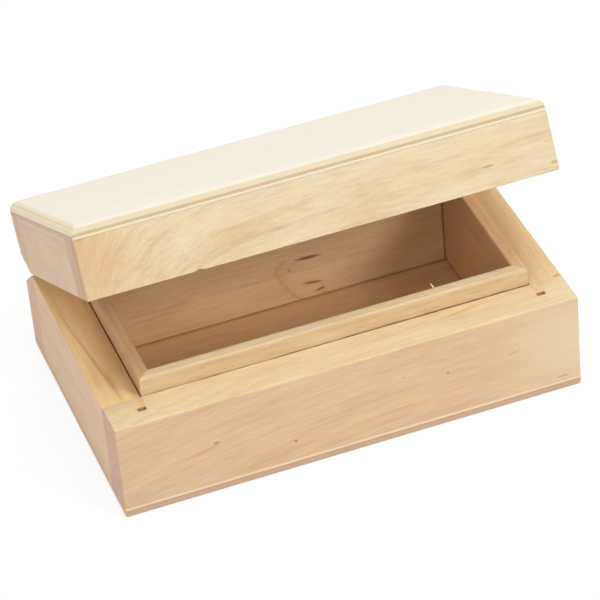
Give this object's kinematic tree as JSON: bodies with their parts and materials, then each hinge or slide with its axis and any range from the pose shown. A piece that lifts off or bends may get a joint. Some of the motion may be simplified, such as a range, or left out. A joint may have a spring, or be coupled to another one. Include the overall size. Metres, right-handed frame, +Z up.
{
  "type": "wooden box",
  "caption": "Rectangular wooden keepsake box with a flat lid on concealed rear hinges, standing half open over a raised mitred lining.",
  "frame": {"origin": "centre of the underside of the base, on the surface that the box stands on", "axes": "+X to the right end of the box, +Y to its rear, where the hinges are, +Z up"},
  "size_m": [0.22, 0.1539, 0.1395],
  "materials": {
    "wall_face_grain": "planed and sanded golden timber with a thin clear finish",
    "end_wall_grain": "sanded timber, a little pinker and duller, with a thin clear finish",
    "top_panel": "pale three-ply plywood with fine straight face grain",
    "floor_panel": "sanded three-ply plywood",
    "liner": "smooth planed timber with an eased top edge and a small knot",
    "hinge_brass": "turned brass",
    "hinge_pin_steel": "drawn steel"
  },
  "bodies": {
    "base": {"base_front_wall": "wall_face_grain", "base_rear_wall": "wall_face_grain", "base_left_wall": "end_wall_grain", "base_right_wall": "end_wall_grain", "base_bottom_panel": "floor_panel", "liner_front": "liner", "liner_rear": "liner", "liner_left": "liner", "liner_right": "liner", "left_hinge_lower_barrel": "hinge_brass", "right_hinge_lower_barrel": "hinge_brass", "left_hinge_pin": "hinge_pin_steel", "right_hinge_pin": "hinge_pin_steel"},
    "lid": {"lid_front_wall": "wall_face_grain", "lid_rear_wall": "wall_face_grain", "lid_left_wall": "end_wall_grain", "lid_right_wall": "end_wall_grain", "lid_top_panel": "top_panel", "left_hinge_upper_barrel": "hinge_brass", "right_hinge_upper_barrel": "hinge_brass"}
  },
  "joints": [
    {"name": "lid_hinge", "type": "hinge", "parent": "base", "child": "lid", "pos_m": [0, 0.0572, 0.05015], "axis": [-1, 0, 0], "range_deg": [-28.3, 51.5]}
  ]
}
